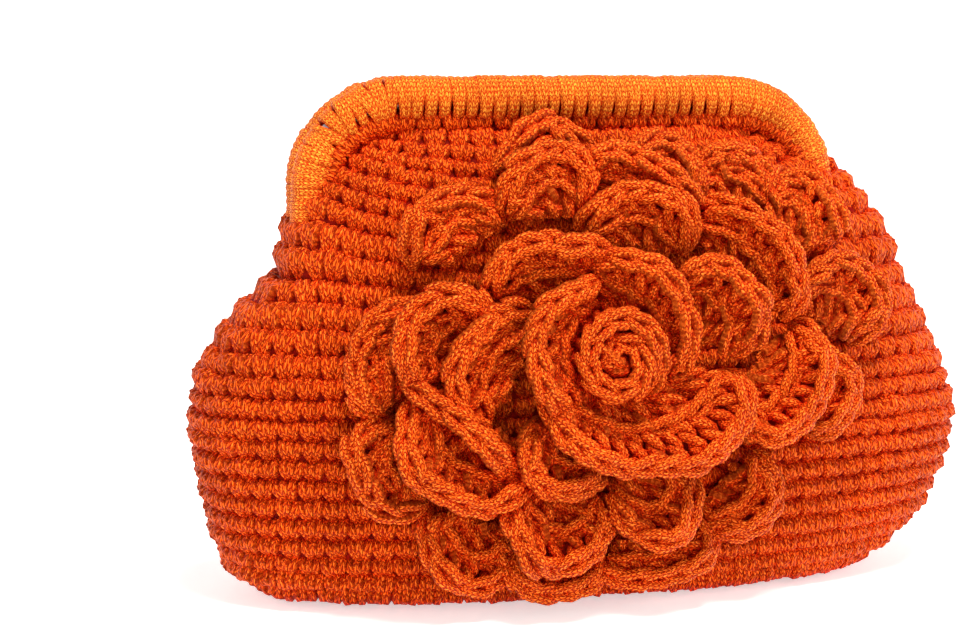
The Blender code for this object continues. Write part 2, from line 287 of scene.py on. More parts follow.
def end_tree(tree, geometry, finish, output):
    """Makes the geometry real, sets its material and hands it out."""
    real = add_node(tree, "GeometryNodeRealizeInstances", {"Geometry": geometry})
    sockets = {"Geometry": real.outputs["Geometry"], "Material": finish}
    coloured = add_node(tree, "GeometryNodeSetMaterial", sockets)
    add_node(tree, "NodeGroupOutput", {output: coloured.outputs["Geometry"]})


def store(tree, geometry, name, value, kind="FLOAT", domain="POINT"):
    sockets = {"Geometry": geometry, "Name": name, "Value": value}
    node = add_node(
        tree, "GeometryNodeStoreNamedAttribute", sockets, data_type=kind, domain=domain
    )
    return node.outputs["Geometry"]


def read(tree, name, kind="FLOAT"):
    node = add_node(tree, "GeometryNodeInputNamedAttribute", {"Name": name}, data_type=kind)
    return node.outputs["Attribute"]


def compare(tree, operation, first, second):
    settings = {"data_type": "FLOAT", "operation": operation}
    return add_node(tree, "FunctionNodeCompare", {0: first, 1: second}, **settings).outputs[0]


# %% Tree that sweeps a cord along curves
LAST_FACE = 0.42
FIRST_EDGE = 0.01


def cord_tree():
    """The last face round the cord runs to 1 in the UV map, not back to 0."""
    inputs = (
        ("Curves", "Geometry"),
        ("Sides", "Int", 6),
        ("Cord Radius", "Float", 1.5 * MM),
        ("Finish", "Material"),
    )
    tree, keys, given = start_tree("cord_along_curve", inputs, "Cord")
    length = add_node(tree, "GeometryNodeSplineParameter").outputs["Length"]
    curves = store(tree, given["Curves"], "along", length)
    sockets = {"Resolution": given["Sides"], "Radius": given["Cord Radius"]}
    ring = add_node(tree, "GeometryNodeCurvePrimitiveCircle", sockets).outputs["Curve"]
    index = add_node(tree, "GeometryNodeInputIndex").outputs[0]
    ring = store(tree, ring, "around", calc(tree, "DIVIDE", index, given["Sides"]))
    sockets = {"Curve": curves, "Profile Curve": ring, "Fill Caps": True}
    swept = add_node(tree, "GeometryNodeCurveToMesh", sockets).outputs["Mesh"]
    along, around = read(tree, "along"), read(tree, "around")
    face_mean = add_node(
        tree, "GeometryNodeFieldOnDomain", {"Value": around}, data_type="FLOAT", domain="FACE"
    )
    on_last = compare(tree, "GREATER_THAN", face_mean.outputs[0], LAST_FACE)
    at_seam = compare(tree, "LESS_THAN", around, FIRST_EDGE)
    closes = add_node(tree, "FunctionNodeBooleanMath", {0: on_last, 1: at_seam}, operation="AND")
    sockets = {"Switch": closes.outputs[0], "False": around, "True": 1.0}
    closed = add_node(tree, "GeometryNodeSwitch", sockets, input_type="FLOAT")
    place = add_node(tree, "ShaderNodeCombineXYZ", {0: along, 1: closed.outputs[0]})
    mapped = store(tree, swept, CORD_UV, place.outputs[0], "FLOAT2", "CORNER")
    smooth = add_node(tree, "GeometryNodeSetShadeSmooth", {"Geometry": mapped})
    end_tree(tree, smooth.outputs["Geometry"], given["Finish"], "Cord")
    return tree, keys


CORD_TREE, CORD_KEYS = cord_tree()
print("tree built:", CORD_TREE.name)


# %% Tree that repeats a model over points
def field_tree():
    """Each point's stored turn and size, changed a little by seeded random values."""
    inputs = (
        ("Points", "Geometry"),
        ("Model", "Object"),
        ("Wobble", "Float", 0.08),
        ("Size Change", "Float", 0.06),
        ("Seed", "Int", 1),
        ("Finish", "Material"),
    )
    tree, keys, given = start_tree("model_on_points", inputs, "Field")
    model = add_node(tree, "GeometryNodeObjectInfo", {"Object": given["Model"]})
    turn, size = (read(tree, name, "FLOAT_VECTOR") for name in ("turn", "size"))
    stored = add_node(tree, "FunctionNodeEulerToRotation", {0: turn})
    least = calc(tree, "MULTIPLY", given["Wobble"], -1.0)
    sockets = {"Min": least, "Max": given["Wobble"], "Seed": given["Seed"]}
    wobble = add_node(tree, "FunctionNodeRandomValue", sockets, data_type="FLOAT_VECTOR")
    small_turn = add_node(tree, "FunctionNodeEulerToRotation", {0: wobble.outputs[0]})
    sockets = {"Rotation": stored.outputs[0], "Rotate By": small_turn.outputs[0]}
    turned = add_node(tree, "FunctionNodeRotateRotation", sockets, rotation_space="LOCAL")
    smallest = calc(tree, "SUBTRACT", 1.0, given["Size Change"])
    largest = calc(tree, "ADD", 1.0, given["Size Change"])
    sockets = {2: smallest, 3: largest, "Seed": given["Seed"]}
    growth = add_node(tree, "FunctionNodeRandomValue", sockets, data_type="FLOAT")
    sockets = {0: size, "Scale": growth.outputs[1]}
    scaled = add_node(tree, "ShaderNodeVectorMath", sockets, operation="SCALE")
    sockets = {
        "Points": given["Points"],
        "Instance": model.outputs["Geometry"],
        "Rotation": turned.outputs[0],
        "Scale": scaled.outputs[0],
    }
    placed = add_node(tree, "GeometryNodeInstanceOnPoints", sockets)
    end_tree(tree, placed.outputs["Instances"], given["Finish"], "Field")
    return tree, keys


FIELD_TREE, FIELD_KEYS = field_tree()
print("tree built:", FIELD_TREE.name)


# %% Run a tree and keep its result as a plain mesh
def link_new(name, data):
    """A new object with this data, linked to the scene."""
    made = bpy.data.objects.new(name, data)
    bpy.context.scene.collection.objects.link(made)
    return made


def evaluated_mesh(source, **options):
    """A new mesh of the source with its modifiers worked out; the source goes."""
    bpy.context.view_layer.update()
    depsgraph = bpy.context.evaluated_depsgraph_get()
    grown = source.evaluated_get(depsgraph)
    mesh = bpy.data.meshes.new_from_object(grown, depsgraph=depsgraph, **options)
    source.modifiers.clear()
    bpy.data.objects.remove(source, do_unlink=True)
    return mesh


def run_tree(name, source, tree, keys, values):
    """Evaluates source through the tree; returns a new plain mesh object."""
    modifier = source.modifiers.new("grow", "NODES")
    modifier.node_group = tree
    for label, value in values.items():
        modifier[keys[label]] = value
    mesh = evaluated_mesh(source, preserve_all_data_layers=True)
    mesh.name = name
    return link_new(name, mesh)


def sweep_cords(name, paths, radius, sides, finish):
    """Sweeps a cord along each path, a list of (point, thickness share)."""
    curves = bpy.data.curves.new(name + "_paths", "CURVE")
    curves.dimensions = "3D"
    for path in paths:
        spline = curves.splines.new("POLY")
        spline.points.add(len(path) - 1)
        for knot, (point, thickness) in zip(spline.points, path):
            knot.co = (*point, 1.0)
            knot.radius = thickness
    values = {"Sides": sides, "Cord Radius": radius, "Finish": finish}
    return run_tree(name, link_new(name + "_paths", curves), CORD_TREE, CORD_KEYS, values)


def repeat_model(name, places, model, finish, wobble, size_change, seed):
    """Puts the model on each place: (point, 3x3 axes matrix, scale triple)."""
    mesh = bpy.data.meshes.new(name + "_places")
    mesh.from_pydata([tuple(p) for p, _, _ in places], [], [])
    turn = mesh.attributes.new("turn", "FLOAT_VECTOR", "POINT")
    size = mesh.attributes.new("size", "FLOAT_VECTOR", "POINT")
    for k, (_, axes, scale) in enumerate(places):
        turn.data[k].vector = axes.to_euler("XYZ")
        size.data[k].vector = scale
    values = {
        "Model": model,
        "Wobble": wobble,
        "Size Change": size_change,
        "Seed": seed,
        "Finish": finish,
    }
    return run_tree(name, link_new(name + "_places", mesh), FIELD_TREE, FIELD_KEYS, values)


def running_length(points):
    """How far along a line of points each of them lies."""
    return np.cumsum([0.0] + [(b - a).length for a, b in zip(points, points[1:])])


def smooth_line(knots, steps):
    """A Catmull-Rom curve through the knots, as a list of points."""
    padded = [knots[0], *knots, knots[-1]]
    line = []
    for four in zip(padded, padded[1:], padded[2:], padded[3:]):
        for f in (step / steps for step in range(steps)):
            weights = (
                -0.5 * f + f**2 - 0.5 * f**3,
                1 - 2.5 * f**2 + 1.5 * f**3,
                0.5 * f + 2 * f**2 - 1.5 * f**3,
                -0.5 * f**2 + 0.5 * f**3,
            )
            line.append(sum((p * w for p, w in zip(four, weights)), Vector()))
    return line + [knots[-1]]


def between(at, places, values):
    """The value at a place, read between the values at the places next to it."""
    return float(np.interp(at, places, values))


def triangles(thing):
    return sum(len(face.vertices) - 2 for face in thing.data.polygons)


# %% [markdown]
# ## The bag's surface
# The crochet follows the shell of the CAD model, so the stitches need to know
# where that surface is. It is a stack of rounded loops, each with its height,
# its width to the left and right, its depth and how square it is. Those few
# shares are written out again here, because the rows and columns of stitches
# have to be counted along them. The height and depth that they are shares of
# are read from the imported model; the half width is given.

# %% Sizes, partly read from the imported model
SHELL_HIGH = Vector(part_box("bag_shell")[1])
ROLL_LOW, ROLL_HIGH = (Vector(c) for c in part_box("winding_front"))
RIM = SHELL_HIGH.z
BAG_HEIGHT = ROLL_HIGH.z
ARM_END = ROLL_LOW.z
SHOULDER = ARM_END - 0.3 * MM
HALF_DEPTH = SHELL_HIGH.y
HALF_WIDTH = 134.0 * MM
ROLL_RADIUS = 7.3 * MM
HALF_SPREAD = 7.55 * MM
ARM_OFFSET = ROLL_HIGH.x - ROLL_RADIUS
FRAME_CORNER = 40.0 * MM
EDGE_CLEARANCE = 0.7 * MM
MOUTH_HALF_DEPTH = HALF_SPREAD + 2.75 * MM
print("rim", round(RIM, 4), "arm end", round(ARM_END, 4), "arm offset", round(ARM_OFFSET, 4))

# %% The loops of the shell
def clamped(value, low=0.0, high=1.0):
    return max(low, min(high, value))


def signed_power(value, power):
    return math.copysign(abs(value) ** power, value)


LOOPS = (
    # height, left, right, depth, squareness
    (0.000, 0.740, 0.740, 0.740, 2.6),
    (0.018, 0.815, 0.820, 0.840, 2.6),
    (0.075, 0.895, 0.915, 0.920, 2.6),
    (0.190, 0.940, 1.020, 0.975, 2.6),
    (0.360, 0.970, 1.090, 1.000, 2.6),
    (0.540, 0.995, 1.115, 0.990, 2.6),
    (0.700, 0.975, 1.065, 0.960, 2.6),
    (0.840, 0.910, 1.005, 0.900, 2.7),
    (0.930, 0.845, 0.970, 0.850, 2.8),
    (0.980, 0.795, 0.945, 0.815, 2.9),
)
NECK_SQUARENESS = 3.0
PUFF_LEFT = 20.0 * MM
PUFF_RIGHT = 42.0 * MM
PUFF_FADE = 1.6
DEPTH_FADE = 1.6


def neck_half_width(height):
    straight = ARM_OFFSET - ROLL_RADIUS - EDGE_CLEARANCE
    corner = FRAME_CORNER - 2 * ROLL_RADIUS - EDGE_CLEARANCE
    rise = max(0.0, height - (BAG_HEIGHT - FRAME_CORNER))
    return straight - corner + math.sqrt(max(0.0, corner**2 - rise**2))


def loop_at(height):
    """(left, right, depth, squareness) of the shell at a height."""
    if height >= SHOULDER:
        share = min(1.0, (height - SHOULDER) / (RIM - SHOULDER))
        width = neck_half_width(min(height, RIM))
        puff = 1 - share**PUFF_FADE
        shoulder_depth = LOOPS[-1][3] * HALF_DEPTH
        fade = 1 - share**DEPTH_FADE
        depth = MOUTH_HALF_DEPTH + (shoulder_depth - MOUTH_HALF_DEPTH) * fade
        return width + PUFF_LEFT * puff, width + PUFF_RIGHT * puff, depth, NECK_SQUARENESS
    heights = [row[0] * SHOULDER for row in LOOPS] + [SHOULDER]
    neck = loop_at(SHOULDER)
    columns = list(zip(*LOOPS))
    values = []
    for column, unit, last in zip(columns[1:], (HALF_WIDTH, HALF_WIDTH, HALF_DEPTH, 1.0), neck):
        shares = [v * unit for v in column] + [last]
        values.append(between(height, heights, shares))
    return tuple(values)


def shell_point(angle, height):
    """A place on the outside of the shell; an angle of 270 degrees is the front."""
    left, right, depth, square = loop_at(height)
    across = signed_power(math.cos(angle), 2 / square)
    along = signed_power(math.sin(angle), 2 / square)
    return Vector(((right if across > 0 else left) * across, depth * along, height))


print("front centre at mid height:", [round(v, 4) for v in shell_point(1.5 * math.pi, 0.08)])

# %% [markdown]
# ## One stitch
# A single crochet stitch shows as a small fan: two fat lobes of cord come out of
# one hole, lean apart, and roll over into the row above, with a thinner lobe
# between their tops. The tops of a row touch, and a dark hole stays between the
# feet. It is repeated some two thousand times, so it has only a few dozen faces
# round each short cord. The left lobe is a little fuller, because in the real
# stitch it lies on top of the right one.

# %% The stitch model
STITCH_WIDTH = 8.0 * MM
STITCH_HEIGHT = 6.9 * MM
LOBE_RADIUS = 2.0 * MM
LEFT_LOBE = (
    # across, up, out, thickness share
    (-0.3, -3.6, -3.0, 0.80),
    (-0.9, -2.2, -0.9, 1.08),
    (-1.9, -0.3, 0.4, 1.14),
    (-2.7, 1.3, 1.6, 1.26),
    (-3.0, 2.6, 0.8, 1.15),
    (-2.7, 3.5, -2.4, 0.80),
)
RIGHT_LOBE = (
    # across, up, out, thickness share
    (0.7, -3.6, -3.2, 0.80),
    (1.0, -2.2, -1.4, 1.00),
    (1.7, -0.3, 0.1, 1.04),
    (2.3, 1.3, 1.6, 1.20),
    (2.7, 2.6, 0.8, 1.12),
    (2.6, 3.5, -2.4, 0.80),
)
MIDDLE_LOBE = (
    # across, up, out, thickness share
    (-0.2, -0.4, -0.8, 0.70),
    (-0.2, 0.9, 1.3, 0.96),
    (-0.3, 2.3, 1.7, 1.06),
    (-0.2, 3.3, -1.4, 0.80),
)


def lobe_path(table):
    return [(Vector((x, y, z)) * MM, t) for x, y, z, t in table]


lobes = [lobe_path(table) for table in (LEFT_LOBE, RIGHT_LOBE, MIDDLE_LOBE)]
STITCH = sweep_cords("stitch_model", lobes, LOBE_RADIUS, 6, BODY_CORD)
print("stitch faces:", len(STITCH.data.polygons), "triangles:", triangles(STITCH))

# %% [markdown]
# ## Rows of stitches on the shell
# The front and the back are each one field of stitches. A row runs from one
# side of the bag to the other, and the columns are counted from its middle, so
# they stand straight under each other in the centre, as they do on the bag.
# Towards the frame's corners the rows climb, because the edge of the panel is
# shorter than its puffed-out middle. Each stitch needs a place, the way along
# the row, the way up and the way out, which become its turn.

# %% Places for the stitches
SINK = 2.7 * MM
ROW_CLIMB = 13.0 * MM
CLIMB_FROM, CLIMB_OVER, CLIMB_FADE, CLIMB_REACH = 78 * MM, 45 * MM, 24 * MM, 92 * MM
ROW_STRETCH = (0.9, 1.4)
ARM_DEPTH_ROOM = 0.6 * MM
ARM_HEIGHT_ROOM = 1.0 * MM
EDGE_ROOM = 1.2 * MM
PROFILE_STEPS = 400
ANGLE_STEPS = 120
FIRST_ROW = 5.4 * MM
LAST_ROW = 8.4 * MM
EDGE_BELOW_ROLL = 2.9 * MM
EDGE_OVER_ARM = 3.6 * MM


def climbed(height, x):
    """Height of a row at x, when it is at height in the middle."""
    share = clamped((height - CLIMB_FROM) / CLIMB_OVER)
    fall = clamped((RIM - height) / CLIMB_FADE)
    reach = clamped(abs(x) / CLIMB_REACH)
    return height + ROW_CLIMB * share**1.5 * fall * reach**2.4


def row_point(angle, height):
    flat = shell_point(angle, min(height, RIM))
    return shell_point(angle, min(climbed(height, flat.x), RIM))


def middle_angle(side):
    return 1.5 * math.pi if side < 0 else 0.5 * math.pi


def profile_heights(side):
    """Heights of the rows in the middle, one stitch apart along the panel."""
    levels = np.linspace(0.0, RIM, PROFILE_STEPS + 1)
    samples = [shell_point(middle_angle(side), level) for level in levels]
    run = running_length(samples)
    first, last = FIRST_ROW, run[-1] - LAST_ROW
    count = round((last - first) / STITCH_HEIGHT) + 1
    return np.interp(np.linspace(first, last, count), run, [p.z for p in samples])


def matrix_of(*axes):
    return Matrix(axes).transposed()


def axes_at(along, out):
    """A stitch's own axes as a matrix: across, up and out."""
    out = out.normalized()
    up = out.cross(along).normalized()
    return matrix_of(up.cross(out).normalized(), up, out)


def row_places(height, next_height, side):
    """Places of one row of the front (side -1) or back (side 1)."""
    start = math.pi if side < 0 else 0.0
    angles = np.linspace(start, start + math.pi, ANGLE_STEPS + 1)
    points = [row_point(a, height) for a in angles]
    run = running_length(points)
    middle = between(middle_angle(side), angles, run)
    places = []
    for direction, room in ((-1, middle), (1, run[-1] - middle)):
        count = int(room / STITCH_WIDTH)
        spare = room - count * STITCH_WIDTH
        for k in range(0 if direction < 0 else 1, count + 1):
            stretch = 1 + (spare - 0.5 * STITCH_WIDTH) / room * max(0.0, (k / count - 0.5) * 2)
            at = middle + direction * k * STITCH_WIDTH * stretch
            if not 0 <= at <= run[-1]:
                continue
            angle = between(at, run, angles)
            here = row_point(angle, height)
            next_to = row_point(angle + 0.01, height) - row_point(angle - 0.01, height)
            above = row_point(angle, height + 1.5 * MM) - row_point(angle, height - 1.5 * MM)
            out = next_to.cross(above)
            if out.length < 1e-12:
                continue
            rise = (row_point(angle, next_height) - here).length / STITCH_HEIGHT
            places.append((here, next_to, out, clamped(rise, *ROW_STRETCH)))
    return places


def inside_arch(point):
    """How far a place lies inside the arch's centre line, and 1 at the arms, 0 on top."""
    bend = FRAME_CORNER - ROLL_RADIUS
    x, z = abs(point.x) - (ARM_OFFSET - bend), point.z - (BAG_HEIGHT - FRAME_CORNER)
    if x > 0 and z > 0:
        return bend - math.hypot(x, z), x / math.hypot(x, z)
    return bend - max(x, z), 1.0 if x > z else 0.0


def edge_offset(at_arm):
    """How far under the winding the joining row lies; beside the arms it covers some."""
    return EDGE_BELOW_ROLL - EDGE_OVER_ARM * at_arm


def is_hidden_by_arm(point):
    """Inside the wound frame, or where the row of edge stitches goes."""
    behind = abs(point.y) < HALF_SPREAD + ROLL_RADIUS - ARM_DEPTH_ROOM
    gap, at_arm = inside_arch(point)
    taken = -ROLL_RADIUS < gap < ROLL_RADIUS + edge_offset(at_arm) + EDGE_ROOM
    return point.z > SHOULDER - ARM_HEIGHT_ROOM and behind and taken


def body_places(side):
    places = []
    heights = list(profile_heights(side))
    heights.append(2 * heights[-1] - heights[-2])
    for height, next_height in zip(heights, heights[1:]):
        for here, along, out, rise in row_places(height, next_height, side):
            if not is_hidden_by_arm(here):
                sunk = here - out.normalized() * SINK
                places.append((sunk, axes_at(along, out), (1.0, rise, 1.0)))
    return places


STITCH_PIECES = []
for label, side in SIDES.items():
    places = body_places(side)
    field = repeat_model(
        "body_stitches_" + label, places, STITCH, BODY_CORD, 0.17, 0.10, 11 + side
    )
    STITCH_PIECES.append(field)
    print(field.name, "stitches:", len(places), "triangles:", triangles(field))

# %% [markdown]
# ## The base and the shoulders
# The base is crocheted in rounds that start from a line in its middle, so its
# stitches lie in rings that shrink towards that line. They face down and stop
# at the height of the floor. Beside the frame's arms the shell closes over in
# a small flat shoulder, which gets a few rows of its own.

# %% Places on the base and the shoulders
BASE_LIFT = 4.5 * MM
BASE_SQUARENESS = 2.6
BASE_THICKNESS = 0.85
RING_STEPS = 240
FIRST_RING = 0.35
SHOULDER_START = 0.3
SHOULDER_SINK = SINK + 0.5 * MM
SHOULDER_LEAN = 0.25


def base_places():
    half_width, half_depth = LOOPS[0][1] * HALF_WIDTH, LOOPS[0][3] * HALF_DEPTH
    angles = np.linspace(0.0, math.tau, RING_STEPS + 1)
    places = []
    for ring in range(int(half_depth / STITCH_HEIGHT)):
        inset = (ring + FIRST_RING) * STITCH_HEIGHT

        def place(angle):
            across = signed_power(math.cos(angle), 2 / BASE_SQUARENESS)
            along = signed_power(math.sin(angle), 2 / BASE_SQUARENESS)
            return Vector(((half_width - inset) * across, (half_depth - inset) * along, BASE_LIFT))

        run = running_length([place(angle) for angle in angles])
        count = round(run[-1] / STITCH_WIDTH)
        for k in range(count):
            angle = between((k + 0.5) * run[-1] / count, run, angles)
            axes = axes_at(place(angle - 0.01) - place(angle + 0.01), Vector((0, 0, -1)))
            places.append((place(angle), axes, (1.0, 1.0, BASE_THICKNESS)))
    return places


def shoulder_places():
    places = []
    neck = loop_at(SHOULDER)
    for side, reach in ((-1, neck[0]), (1, neck[1])):
        x = ARM_OFFSET - ROLL_RADIUS + SHOULDER_START * STITCH_HEIGHT
        while x < reach + 1.0 * MM:
            for k in (-1.5, -0.5, 0.5, 1.5):
                point = Vector((side * x, k * STITCH_WIDTH, SHOULDER - SHOULDER_SINK))
                axes = axes_at(Vector((0, side, 0)), Vector((SHOULDER_LEAN * side, 0, 1)))
                places.append((point, axes, (1.0, 1.0, 1.0)))
            x += STITCH_HEIGHT
    return places


BASE = repeat_model("base_stitches", base_places(), STITCH, BODY_CORD, 0.08, 0.05, 31)
SHOULDERS = repeat_model("shoulder_stitches", shoulder_places(), STITCH, BODY_CORD, 0.12, 0.06, 32)
STITCH_PIECES += [BASE, SHOULDERS]
print("base triangles:", triangles(BASE), "shoulder triangles:", triangles(SHOULDERS))

# %% [markdown]
# ## What lies under the stitches
# The real wall is one thick layer of crochet. Behind the visible lobes there is
# more cord, which closes the bag against light. A thin hollow shell stands for
# it: a copy of the CAD shell whose two skins are drawn into the wall by the
# Displace modifier, so it stays hollow, closed and just under the stitches. Its
# dark red colour is painted shade.

# %% The layer under the stitches
WALL_INSET = 2.3 * MM
SAME_PLACE = 0.01 * MM


def inner_layer(name, node, inset, finish):
    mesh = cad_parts[node].data.copy()
    merged = bmesh.new()
    merged.from_mesh(mesh)
    bmesh.ops.remove_doubles(merged, verts=merged.verts, dist=SAME_PLACE)
    merged.to_mesh(mesh)
    merged.free()
    mesh.materials.clear()
    mesh.materials.append(finish)
    source = link_new(name + "_source", mesh)
    drawn_in = source.modifiers.new("drawn_in", "DISPLACE")
    drawn_in.strength = -inset
    drawn_in.mid_level = 0.0
    return link_new(name, evaluated_mesh(source))


WALL = inner_layer("wall_under_stitches", "bag_shell", WALL_INSET, PAINTED_SHADE_CORD)
print("wall triangles:", triangles(WALL))

# %% [markdown]
# ## Cord wound round the frame
# The cord goes round each tube and down into the edge of the panel, over and
# over. On top the turns lie side by side. Below, two neighbouring turns go into
# the same stitch, so they draw together like fingers and leave a dark slit
# beside them. One pair of turns is modelled and repeated along the arch. The
# pressed cord is wider than it is thick, so the pair is swept from round cord
# and then widened.

# %% One pair of turns
TURN_PITCH = 2.4 * MM
PRESSED_WIDTH = 1.40
PRESSED_RADIUS = 1.35 * MM
TURN_RADIUS = ROLL_RADIUS - 1.45 * MM
TURN_STEPS = 22
TURN_START = math.radians(-95)
TURN_OVERLAP = 1.03
TURN_LEAN = 0.5
GATHER_SHARE = 0.7
GATHER_THINNING = 0.16
GATHER_REACH = 1.8 * MM
GATHER_ANGLES = (82, 122, 168, 215)


def gathered(angle):
    """0 where the turns lie side by side, 1 where two of them share a stitch."""
    share = between(math.degrees(angle), GATHER_ANGLES, (0, 1, 1, 0))
    return share * share * (3 - 2 * share)


def turn_path(offset):
    """One turn; the angle runs from the outside of the arch over the front and in."""
    path = []
    for share in np.linspace(0, 1, TURN_STEPS + 1):
        angle = TURN_START + math.tau * share * TURN_OVERLAP
        gather = gathered(angle)
        radius = TURN_RADIUS + GATHER_REACH * gather * max(0.0, -math.cos(angle))
        lean = (share - 0.5) * TURN_PITCH * TURN_LEAN * (1 - gather)
        across = (offset * (1 - GATHER_SHARE * gather) + lean) / PRESSED_WIDTH
        point = (across, radius * math.cos(angle), radius * math.sin(angle))
        path.append((Vector(point), 1.0 - GATHER_THINNING * gather))
    return path


both = [turn_path(-TURN_PITCH / 2), turn_path(TURN_PITCH / 2)]
PAIR = sweep_cords("turn_pair_model", both, PRESSED_RADIUS, 8, WOUND_CORD)
PAIR.data.transform(Matrix.Diagonal((PRESSED_WIDTH, 1, 1, 1)))
print("pair of turns, triangles:", triangles(PAIR))

# %% The arch and the pairs along it
CORNER_CROWDING = 1.14
WINDING_END = 1.75 * MM
BARE_STRETCH = (0.16, 0.335)
SLIP_GAPS = (50.8 * MM, 61.5 * MM, 69.0 * MM, 81.0 * MM)
SLIP_REACH = 4.0 * MM
SLIP_SHRINK = 0.16
SLIP_TILT = math.radians(15)


def arch_sizes(crowded):
    """Length of an arm, of a bend and of the top, and the radius of the bend."""
    radius = FRAME_CORNER - ROLL_RADIUS
    bend = radius * math.pi / 2 * (CORNER_CROWDING if crowded else 1.0)
    return BAG_HEIGHT - FRAME_CORNER - ARM_END, bend, 2 * (ARM_OFFSET - radius), radius


def arch_length(crowded=True):
    arm, bend, top, _ = arch_sizes(crowded)
    return 2 * arm + 2 * bend + top


def arch_point(distance, crowded=True):
    """Place, direction and outward side at a distance from the left arm's end."""
    length = arch_length(crowded)
    if distance > length / 2:
        point, along, out = arch_point(length - distance, crowded)
        point.x, along.z, out.x = -point.x, -along.z, -out.x
        return point, along, out
    arm, bend, _, radius = arch_sizes(crowded)
    if distance < arm:
        point = Vector((-ARM_OFFSET, 0, ARM_END + distance))
        return point, Vector((0, 0, 1)), Vector((-1, 0, 0))
    centre = Vector((radius - ARM_OFFSET, 0, BAG_HEIGHT - FRAME_CORNER))
    turn = math.pi / 2 * min(1.0, (distance - arm) / bend)
    out = Vector((-math.cos(turn), 0, math.sin(turn)))
    point = centre + radius * out + Vector((max(0.0, distance - arm - bend), 0, 0))
    return point, Vector((math.sin(turn), 0, math.cos(turn))), out


def slipped(distance, side):
    """How far a pair has tilted away from a gap, and what is left of its width."""
    if side > 0:
        return 0.0, 1.0
    tilt, width = 0.0, 1.0
    for gap in SLIP_GAPS:
        near = math.exp(-(((distance - gap) / SLIP_REACH) ** 2))
        tilt += math.copysign(SLIP_TILT, distance - gap) * near
        width -= SLIP_SHRINK * near
    return tilt, width


def winding_places(side):
    length = arch_length()
    count = round(length / (2 * TURN_PITCH))
    pitch = (length - 2 * WINDING_END) / count
    places = []
    for k in range(count):
        distance = WINDING_END + (k + 0.5) * pitch
        tilt, width = slipped(distance, side)
        point, along, out = arch_point(distance)
        point.y = side * HALF_SPREAD
        facing = Vector((0, side, 0))
        axes = Matrix.Rotation(tilt, 3, facing) @ matrix_of(-side * along, out, facing)
        places.append((point, axes, (width, 1.0, 1.0)))
    return places


WINDINGS = {}
for label, side in SIDES.items():
    places = winding_places(side)
    WINDINGS[label] = repeat_model(
        "cord_wound_" + label, places, PAIR, WOUND_CORD, 0.045, 0.05, 41 + side
    )
    print(label, "pairs:", len(places), "triangles:", triangles(WINDINGS[label]))

# %% [markdown]
# ## The row that joins panel and frame
# The last row of the panel follows the frame's inside, round both corners. Its
# stitches point at the tube, and the cord wound round the tube goes through
# them. The row stands just under the winding on top, and beside the arms it
# comes forward and covers some of it, on the front and on the back.

# %% Stitches along the inside of the arch
EDGE_IN_FRONT = 1.2 * MM
EDGE_PROUD = 2.6 * MM
EDGE_SPACING = 0.86
EDGE_LEAN = 0.25


def edge_places(side):
    places = []
    length = arch_length(crowded=False)
    count = round(length * EDGE_SPACING / STITCH_WIDTH)
    for k in range(count):
        point, _, out = arch_point(length * (k + 0.5) / count, crowded=False)
        here = point - out * (ROLL_RADIUS + edge_offset(abs(out.x)))
        here.y = side * (MOUTH_HALF_DEPTH - EDGE_IN_FRONT + EDGE_PROUD * abs(out.x))
        facing = (Vector((0, side, 0)) - EDGE_LEAN * out).normalized()
        across = out.cross(facing).normalized()
        axes = matrix_of(across, facing.cross(across), facing)
        places.append((here, axes, (1.0, 1.0, 1.0)))
    return places


for label, side in SIDES.items():
    row = repeat_model(
        "edge_stitches_" + label, edge_places(side), STITCH, BODY_CORD, 0.08, 0.05, 71 + side
    )
    STITCH_PIECES.append(row)
    print(row.name, "triangles:", triangles(row))

# %% [markdown]
# ## The first layer on the tube
# Under the visible turns the tube carries a first layer of cord, which is what
# the dark slits show; its dark red colour is painted shade. At the upper left
# corner of the front this layer is missing, some pairs of turns have tilted
# apart, and the plated tube glints through the gaps.

# %% First layer
UNDER_RADIUS = 4.95 * MM
UNDER_STEPS = 60
UNDER_STRETCHES = {
    # shares of the arch that carry the layer
    "front": ((0.006, BARE_STRETCH[0]), (BARE_STRETCH[1], 0.994)),
    "back": ((0.006, 0.994),),
}


def under_path(side, start, end):
    length = arch_length(crowded=False)
    steps = max(4, round((end - start) * UNDER_STEPS))
    path = []
    for share in np.linspace(start, end, steps + 1):
        point, _, _ = arch_point(length * share * 0.9999, crowded=False)
        point.y = side * HALF_SPREAD
        path.append((point, 1.0))
    return path


UNDER_LAYERS = {}
for label, side in SIDES.items():
    paths = [under_path(side, start, end) for start, end in UNDER_STRETCHES[label]]
    UNDER_LAYERS[label] = sweep_cords("first_layer_" + label, paths, UNDER_RADIUS, 12, PAINTED_SHADE_CORD)
print("first layer triangles:", [triangles(o) for o in UNDER_LAYERS.values()])

# %% [markdown]
# ## The rose's own coordinates
# The rose is worked flat, in rounds, and sewn to the puffed front. Its pieces
# are laid out in a flat plane, right and up from the rose's centre, with a
# height towards the viewer. One function lays such a place onto the panel.

# %% Laying a place onto the panel
ROSE_LOW, ROSE_HIGH = (Vector(c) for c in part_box("petal_round_outer"))
ROSE_X = (ROSE_LOW.x + ROSE_HIGH.x) / 2
ROSE_Z = (ROSE_LOW.z + ROSE_HIGH.z) / 2
ROSE_RADIUS = (ROSE_HIGH.z - ROSE_LOW.z) / 2
ROSE_BREADTH = (ROSE_HIGH.x - ROSE_LOW.x) / (ROSE_HIGH.z - ROSE_LOW.z)
SEAT_FLOOR = 20.0 * MM


def panel_depth(x, z):
    left, right, depth, square = loop_at(min(max(z, SEAT_FLOOR), RIM))
    across = min(1.0, abs(x) / (right if x > 0 else left))
    return depth * (1 - across**square) ** (1 / square)


